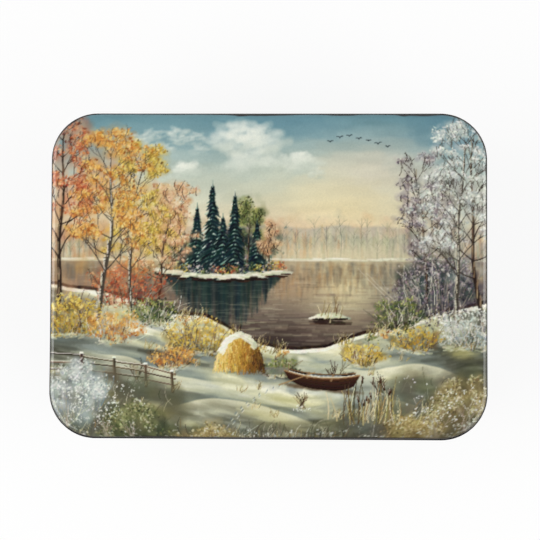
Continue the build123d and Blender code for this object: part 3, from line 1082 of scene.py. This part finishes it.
def finish(name, **values):
    """A new material's tree, its shader with the values that are the same all over it, and its place."""
    material = bpy.data.materials.new(name)
    material.use_nodes = True
    tree = material.node_tree
    shader = tree.nodes["Principled BSDF"]
    for socket, value in values.items():
        shader.inputs[socket.replace("_", " ")].default_value = value
    return material, tree, shader, add(tree, "ShaderNodeTexCoord").outputs["Object"]


def coat_with(tree, shader, **patterns):
    """Feeds the shader's sockets from the nodes that drive them."""
    for socket, node in patterns.items():
        tree.links.new(live_output(node), shader.inputs[socket.replace("_", " ")])


def spots(tree, place, size, low, high, least=0.0, most=1.0, detail=3.0, rough=0.5):
    """Spots of a size: a value that goes from least to most where a noise rises from low to high."""
    noise = {"Vector": place, "Scale": 1 / (size * mm), "Detail": detail, "Roughness": rough}
    noise = add(tree, "ShaderNodeTexNoise", noise)
    value = {"Value": noise, "From Min": low, "From Max": high, "To Min": least, "To Max": most}
    return add(tree, "ShaderNodeMapRange", value)


def mottled(tree, place, under, over, size, low, high, **pattern):
    """Lays one colour over another in spots."""
    share = spots(tree, place, size, low, high, **pattern)
    return add(tree, "ShaderNodeMix", {"Factor": share, "A": under, "B": over}, data_type="RGBA")


def drawn_out(tree, place, squeeze, size, detail):
    """Lines of a width: a noise that is drawn out along each axis whose squeeze is small."""
    place = add(tree, "ShaderNodeMapping", {"Vector": place, "Scale": squeeze})
    return add(tree, "ShaderNodeTexNoise", {"Vector": place, "Scale": 1 / (size * mm), "Detail": detail})


def swell(tree, place, size, height):
    """The long, shallow unevenness of a thick clear coat."""
    waves = add(tree, "ShaderNodeTexNoise", {"Vector": place, "Scale": 1 / (size * mm), "Detail": 2.0})
    return add(tree, "ShaderNodeBump", {"Height": waves, "Distance": height * mm, "Strength": 0.5})


def worn_edge(tree, place, under, over, level, reach, spot):
    """Lays a worn colour over another, in spots along a line round the piece at a level."""
    height = add(tree, "ShaderNodeSeparateXYZ", {"Vector": place}).outputs["Z"]
    off = add(tree, "ShaderNodeMath", {0: height, 1: level * mm}, operation="SUBTRACT")
    off = add(tree, "ShaderNodeMath", {0: off}, operation="ABSOLUTE")
    near = add(tree, "ShaderNodeMapRange", {"Value": off, "From Min": reach * mm, "From Max": 0.0})
    bare = spots(tree, place, spot, 0.6, 0.68, detail=5.0, rough=0.7)
    worn = add(tree, "ShaderNodeMath", {0: near, 1: bare}, operation="MULTIPLY")
    return add(tree, "ShaderNodeMix", {"Factor": worn, "A": under, "B": over}, data_type="RGBA")


# Black lacquer over papier-mache, rubbed flat and varnished: a deep, faintly brown black under a hard
# clear gloss with a slight swell and faint smears, a few hairlines from rubbing, specks of dust, and an
# edge where handling has worn it to brown card in spots. The bare ledge round the picture has lost its
# gloss. Hairlines and dust are drawn half a millimetre wide, coarser than they are, so that they show.
def black_lacquer(name, worn_level, worn_reach, dull_above=None):
    material, tree, shader, place = finish(
        name, Roughness=0.3, Specular_IOR_Level=0.0, Coat_IOR=1.52, Coat_Roughness=0.05
    )
    black = mottled(tree, place, tint("#090808"), tint("#14100E"), 9, 0.35, 0.75)
    rubs = drawn_out(tree, place, (0.04, 0.04, 1.0), 0.5, 2.0)
    rubs = {"Value": rubs, "From Min": 0.6, "From Max": 0.7, "To Max": 0.7}
    rubs = add(tree, "ShaderNodeMapRange", rubs)
    where = spots(tree, place, 16, 0.45, 0.6)
    rubs = add(tree, "ShaderNodeMath", {0: rubs, 1: where}, operation="MULTIPLY")
    black = {"Factor": rubs, "A": black, "B": tint("#38342F")}
    black = add(tree, "ShaderNodeMix", black, data_type="RGBA")
    black = mottled(tree, place, black, tint("#6E6A64"), 0.5, 0.71, 0.76, most=0.5, detail=1.0)
    black = worn_edge(tree, place, black, tint("#4E382B"), worn_level, worn_reach, 2.4)

    gloss = spots(tree, place, 24, 0.38, 0.62, least=0.72, detail=4.0, rough=0.6)
    if dull_above is not None:
        height = add(tree, "ShaderNodeSeparateXYZ", {"Vector": place}).outputs["Z"]
        below = {"Value": height, "From Min": dull_above * mm, "From Max": (dull_above - 0.6) * mm}
        below = add(tree, "ShaderNodeMapRange", below)
        gloss = add(tree, "ShaderNodeMath", {0: gloss, 1: below}, operation="MULTIPLY")
    normal = swell(tree, place, 7, 0.05)
    coat_with(tree, shader, Base_Color=black, Coat_Normal=normal, Coat_Weight=gloss)
    return material


# Red lacquer inside: cinnabar red over the same paper, streaked along the box by a wide brush, with dark
# specks of grit, and rubbed duller and browner where the lid slides over the lining's top edge.
def red_lacquer(worn_level):
    material, tree, shader, place = finish(
        "red_lacquer_lining", Coat_Weight=0.9, Coat_IOR=1.52, Coat_Roughness=0.12
    )
    red = mottled(tree, place, tint("#7A170F"), tint("#8E2016"), 16, 0.35, 0.7, detail=4.0)
    streaks = drawn_out(tree, place, (0.04, 1.0, 1.0), 0.8, 3.0)
    pale = {"Value": streaks, "From Min": 0.5, "From Max": 0.75, "To Max": 0.45}
    pale = add(tree, "ShaderNodeMapRange", pale)
    red = add(tree, "ShaderNodeMix", {"Factor": pale, "A": red, "B": tint("#A32A1C")}, data_type="RGBA")
    red = mottled(tree, place, red, tint("#2A0B08"), 0.8, 0.77, 0.81, most=0.8, detail=1.0)
    red = worn_edge(tree, place, red, tint("#4A1A12"), worn_level, 0.7, 3.0)

    dull = {"Value": streaks, "From Min": 0.3, "From Max": 0.8, "To Min": 0.3, "To Max": 0.5}
    dull = add(tree, "ShaderNodeMapRange", dull)
    ridges = add(tree, "ShaderNodeBump", {"Height": streaks, "Distance": 0.02 * mm})
    coat_with(tree, shader, Base_Color=red, Roughness=dull, Normal=ridges)
    return material


# Rolled brass, once polished: yellow metal with fine drawn lines along the sheet, which glint in a row,
# and a brown tarnish in broad, soft clouds. The lines are drawn coarser than they are, so that they show.
def rolled_brass(name, pale, dull):
    material, tree, shader, place = finish(name, Metallic=1.0)
    metal = mottled(tree, place, tint(dull), tint(pale), 7, 0.3, 0.7, detail=5.0, rough=0.6)
    lines = drawn_out(tree, place, (0.05, 1.0, 1.0), 0.2, 2.0)
    dark = {"Value": lines, "From Min": 0.5, "From Max": 0.8, "To Max": 0.35}
    dark = add(tree, "ShaderNodeMapRange", dark)
    metal = {"Factor": dark, "A": metal, "B": tint("#7C5A2C")}
    metal = add(tree, "ShaderNodeMix", metal, data_type="RGBA")
    rough = {"Value": lines, "From Min": 0.3, "From Max": 0.7, "To Min": 0.2, "To Max": 0.36}
    rough = add(tree, "ShaderNodeMapRange", rough)
    grooves = add(tree, "ShaderNodeBump", {"Height": lines, "Distance": 0.012 * mm})
    coat_with(tree, shader, Base_Color=metal, Roughness=rough, Normal=grooves)
    return material


# Drawn steel wire: grey, fairly bright, and a little uneven where it has dulled.
def drawn_steel():
    material, tree, shader, place = finish("drawn_steel_wire", Metallic=1.0)
    grey = mottled(tree, place, tint("#77736D"), tint("#A5A29C"), 1.2, 0.3, 0.7)
    rough = spots(tree, place, 1.2, 0.3, 0.7, least=0.4, most=0.25)
    coat_with(tree, shader, Base_Color=grey, Roughness=rough)
    return material


# Brush painting under many coats of clear varnish: the paint has no gloss of its own, because it lies
# wet under the varnish, whose hard, level surface has only a long, shallow swell.
def brush_painting():
    material, tree, shader, place = finish(
        "painting_under_varnish",
        Roughness=0.5,
        Specular_IOR_Level=0.0,
        Coat_Weight=1.0,
        Coat_Roughness=0.045,
    )
    colour = add(tree, "ShaderNodeVertexColor", layer_name="paint")
    grain = spots(tree, place, 0.7, 0.25, 0.75, least=0.93, most=1.06, rough=0.7)
    layer = {"Factor": 1.0, "A": colour, "B": grain}
    layer = add(tree, "ShaderNodeMix", layer, data_type="RGBA", blend_type="MULTIPLY")
    coat_with(tree, shader, Base_Color=layer, Coat_Normal=swell(tree, place, 8, 0.04))
    return material


painting_under_varnish = brush_painting()
black_wall = black_lacquer("black_lacquer_on_wall", 0.7, 0.7)
black_rim = black_lacquer("black_lacquer_on_rim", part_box("lid_rim")[0][2] / mm + 0.5, 0.5)
black_lid = black_lacquer("black_lacquer_with_dull_edge", arc_middle_z + 0.9, 0.9, arc_middle_z + 0.6)
red = red_lacquer(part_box("inner_collar")[1][2] / mm)
brass = rolled_brass("rolled_brass", "#DDBB72", "#B48F4E")
nail_brass = rolled_brass("turned_brass_nails", "#C9A25A", "#8E6B38")
steel = drawn_steel()

black_edge(ragged=0.35, blur=0.3, cover=0.94)

# Three bands, so that each can be fine enough to hold the smallest touch.
band_columns = 560
sky_foot, bank_top = 14.0, -22.0
rim_depth = 0.8 * picture_thickness
picture_band("lid_picture_sky", sky_foot, skin_half_width)
picture_band("lid_picture_lake", bank_top, sky_foot)
picture_band("lid_picture_near_bank", -skin_half_width, bank_top)


# The other pieces keep their own shapes, which the lacquer shades smooth but for their sharp edges.


def rubbed_smooth():
    """A modifier's group: joins the loose faces and shades gentle edges smooth."""
    tree = bpy.data.node_groups.new("rubbed_smooth", "GeometryNodeTree")
    for way in ("INPUT", "OUTPUT"):
        tree.interface.new_socket("Geometry", in_out=way, socket_type="NodeSocketGeometry")
    shape = add(tree, "NodeGroupInput")
    shape = add(tree, "GeometryNodeRemoveAttribute", {"Geometry": shape, "Name": "custom_normal"})
    shape = add(tree, "GeometryNodeMergeByDistance", {"Geometry": shape, "Distance": 0.001 * mm})
    faces = {"Geometry": shape, "Shade Smooth": True}
    shape = add(tree, "GeometryNodeSetShadeSmooth", faces, domain="FACE")
    angle = add(tree, "GeometryNodeInputMeshEdgeAngle").outputs["Unsigned Angle"]
    sharp_from = math.radians(24)
    sharp = {"A": angle, "B": sharp_from}
    sharp = add(tree, "FunctionNodeCompare", sharp, data_type="FLOAT", operation="GREATER_THAN")
    edges = {"Geometry": shape, "Selection": sharp, "Shade Smooth": False}
    shape = add(tree, "GeometryNodeSetShadeSmooth", edges, domain="EDGE")
    add(tree, "NodeGroupOutput", {"Geometry": shape})
    return tree


smoothing = rubbed_smooth()


def finish_node(name, material):
    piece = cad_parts[name]
    piece.data.materials.clear()
    piece.data.materials.append(material)
    piece.modifiers.new("rubbed_smooth", "NODES").node_group = smoothing
    weighted = piece.modifiers.new("level_faces", "WEIGHTED_NORMAL")
    weighted.keep_sharp = True


for material, names in (
    (black_wall, ["body_wall", "base_board"]),
    (black_rim, ["lid_rim"]),
    (black_lid, ["lid_board"]),
    (red, ["inner_collar", "floor_card", "lid_card"]),
    (nail_brass, ["hinge_nails_box", "hinge_nails_lid"]),
    (steel, ["hinge_pin_left", "hinge_pin_right"]),
    (brass, [f"hinge_{half}_leaf_{side}" for half in ("box", "lid") for side in ("left", "right")]),
):
    for name in names:
        finish_node(name, material)


# The studio: a wide white table, soft lamps at the sides and a dim ceiling, so that the level varnish
# mirrors little and only its rounded edge catches light. Its sizes are in metres.


def who_looks(tree):
    """Two values, each 1 where the camera sees a thing: straight, and by way of gloss or glass."""
    rays = add(tree, "ShaderNodeLightPath").outputs
    mirrored = {0: rays["Is Glossy Ray"], 1: rays["Is Transmission Ray"]}
    return rays["Is Camera Ray"], add(tree, "ShaderNodeMath", mirrored, operation="MAXIMUM")


def white_table(half_side, seen_glow, mirrored_glow):
    """A matt white table with the box's shadow on it. It glows by a share where the camera sees it, so
    that it is white to its horizon, and by another share where gloss mirrors it."""
    bm = bmesh.new()
    bmesh.ops.create_grid(bm, x_segments=1, y_segments=1, size=half_side)
    piece = mesh_object("table", bm)
    material, tree, shader, _ = finish(
        "white_table", Base_Color=tint("#F4F4F3"), Roughness=0.9, Specular_IOR_Level=0.1
    )
    seen, mirrored = who_looks(tree)
    share = add(tree, "ShaderNodeMath", {0: seen, 1: seen_glow}, operation="MULTIPLY")
    share = {0: mirrored, 1: mirrored_glow, 2: share}
    share = add(tree, "ShaderNodeMath", share, operation="MULTIPLY_ADD")
    white = add(tree, "ShaderNodeEmission", {"Color": (1, 1, 1, 1), "Strength": 1.0})
    surface = add(tree, "ShaderNodeMixShader", {0: share, 1: shader, 2: white})
    tree.links.new(live_output(surface), tree.nodes["Material Output"].inputs["Surface"])
    piece.data.materials.append(material)


def studio_air(side_walls, other_walls, behind_more, ceiling):
    """The light of pale side walls, of dimmer ones in front and behind, and of a dim ceiling, whose value
    is its share of theirs. The camera sees them white, and gloss mirrors them white near the table."""
    world = bpy.data.worlds.new("studio")
    bpy.context.scene.world = world
    world.use_nodes = True
    tree = world.node_tree
    direction = add(tree, "ShaderNodeTexCoord").outputs["Generated"]
    along, back, height = add(tree, "ShaderNodeSeparateXYZ", {"Vector": direction}).outputs
    sideways = add(tree, "ShaderNodeMath", {0: along, 1: along}, operation="MULTIPLY")
    walls = {0: sideways, 1: side_walls, 2: other_walls}
    walls = add(tree, "ShaderNodeMath", walls, operation="MULTIPLY_ADD")
    walls = add(tree, "ShaderNodeMath", {0: back, 1: behind_more, 2: walls}, operation="MULTIPLY_ADD")
    fade = {"Value": height, "From Min": 0.25, "From Max": 0.92, "To Min": 1.0, "To Max": ceiling}
    fade = add(tree, "ShaderNodeMapRange", fade)
    level = add(tree, "ShaderNodeMath", {0: walls, 1: fade}, operation="MULTIPLY")
    seen, mirrored = who_looks(tree)
    low = add(tree, "ShaderNodeMapRange", {"Value": height, "From Min": 0.2, "From Max": 0.05})
    mirrored = add(tree, "ShaderNodeMath", {0: mirrored, 1: low}, operation="MULTIPLY")
    seen = add(tree, "ShaderNodeMath", {0: mirrored, 1: seen}, operation="MAXIMUM")
    level = add(tree, "ShaderNodeMath", {0: level, 1: seen}, operation="MAXIMUM")
    tree.nodes["Background"].inputs["Color"].default_value = (1, 1, 1, 1)
    tree.links.new(live_output(level), tree.nodes["Background"].inputs["Strength"])


def soft_lamp(name, place, wide, high, watts):
    """A large soft lamp, turned to the box."""
    data = bpy.data.lights.new(name, "AREA")
    data.shape = "RECTANGLE"
    data.size, data.size_y = wide, high
    data.energy = watts
    lamp = bpy.data.objects.new(name, data)
    lamp.location = place
    lamp.rotation_euler = (lamp_aim - lamp.location).to_track_quat("-Z", "Y").to_euler()
    bpy.context.scene.collection.objects.link(lamp)


def lens_at(place, aim, roll_degrees, focal_mm):
    """The camera, which has the box's front towards the foot of its frame."""
    data = bpy.data.cameras.new("camera")
    data.lens = focal_mm
    data.sensor_width = 36.0
    camera = bpy.data.objects.new("camera", data)
    ahead = (aim - place).normalized()
    right = ahead.cross(Vector((0, 1, 0))).normalized()
    right = Matrix.Rotation(math.radians(roll_degrees), 3, ahead) @ right
    axes = Matrix((right, right.cross(ahead), -ahead)).transposed().to_4x4()
    camera.matrix_world = Matrix.Translation(place) @ axes
    bpy.context.scene.collection.objects.link(camera)
    bpy.context.scene.camera = camera


lamp_aim = Vector((0, 0, 0.03))
white_table(half_side=30.0, seen_glow=0.88, mirrored_glow=0.4)
studio_air(side_walls=1.5, other_walls=0.3, behind_more=0.15, ceiling=0.16)
soft_lamp("window_left", place=(-1.25, -0.25, 0.85), wide=1.9, high=1.0, watts=20.8)
soft_lamp("window_right", place=(1.2, -0.4, 0.85), wide=1.9, high=0.95, watts=16.6)

# Nearly straight above the lid, half a metre up, as the photograph was taken.
lens_place = Vector((0.01388, -0.01968, 0.5429))
lens_aim = Vector((0.00076, 0.00186, 0.0429))
lens_at(lens_place, lens_aim, roll_degrees=-0.249, focal_mm=94.15)
bpy.context.scene.view_settings.view_transform = "Standard"
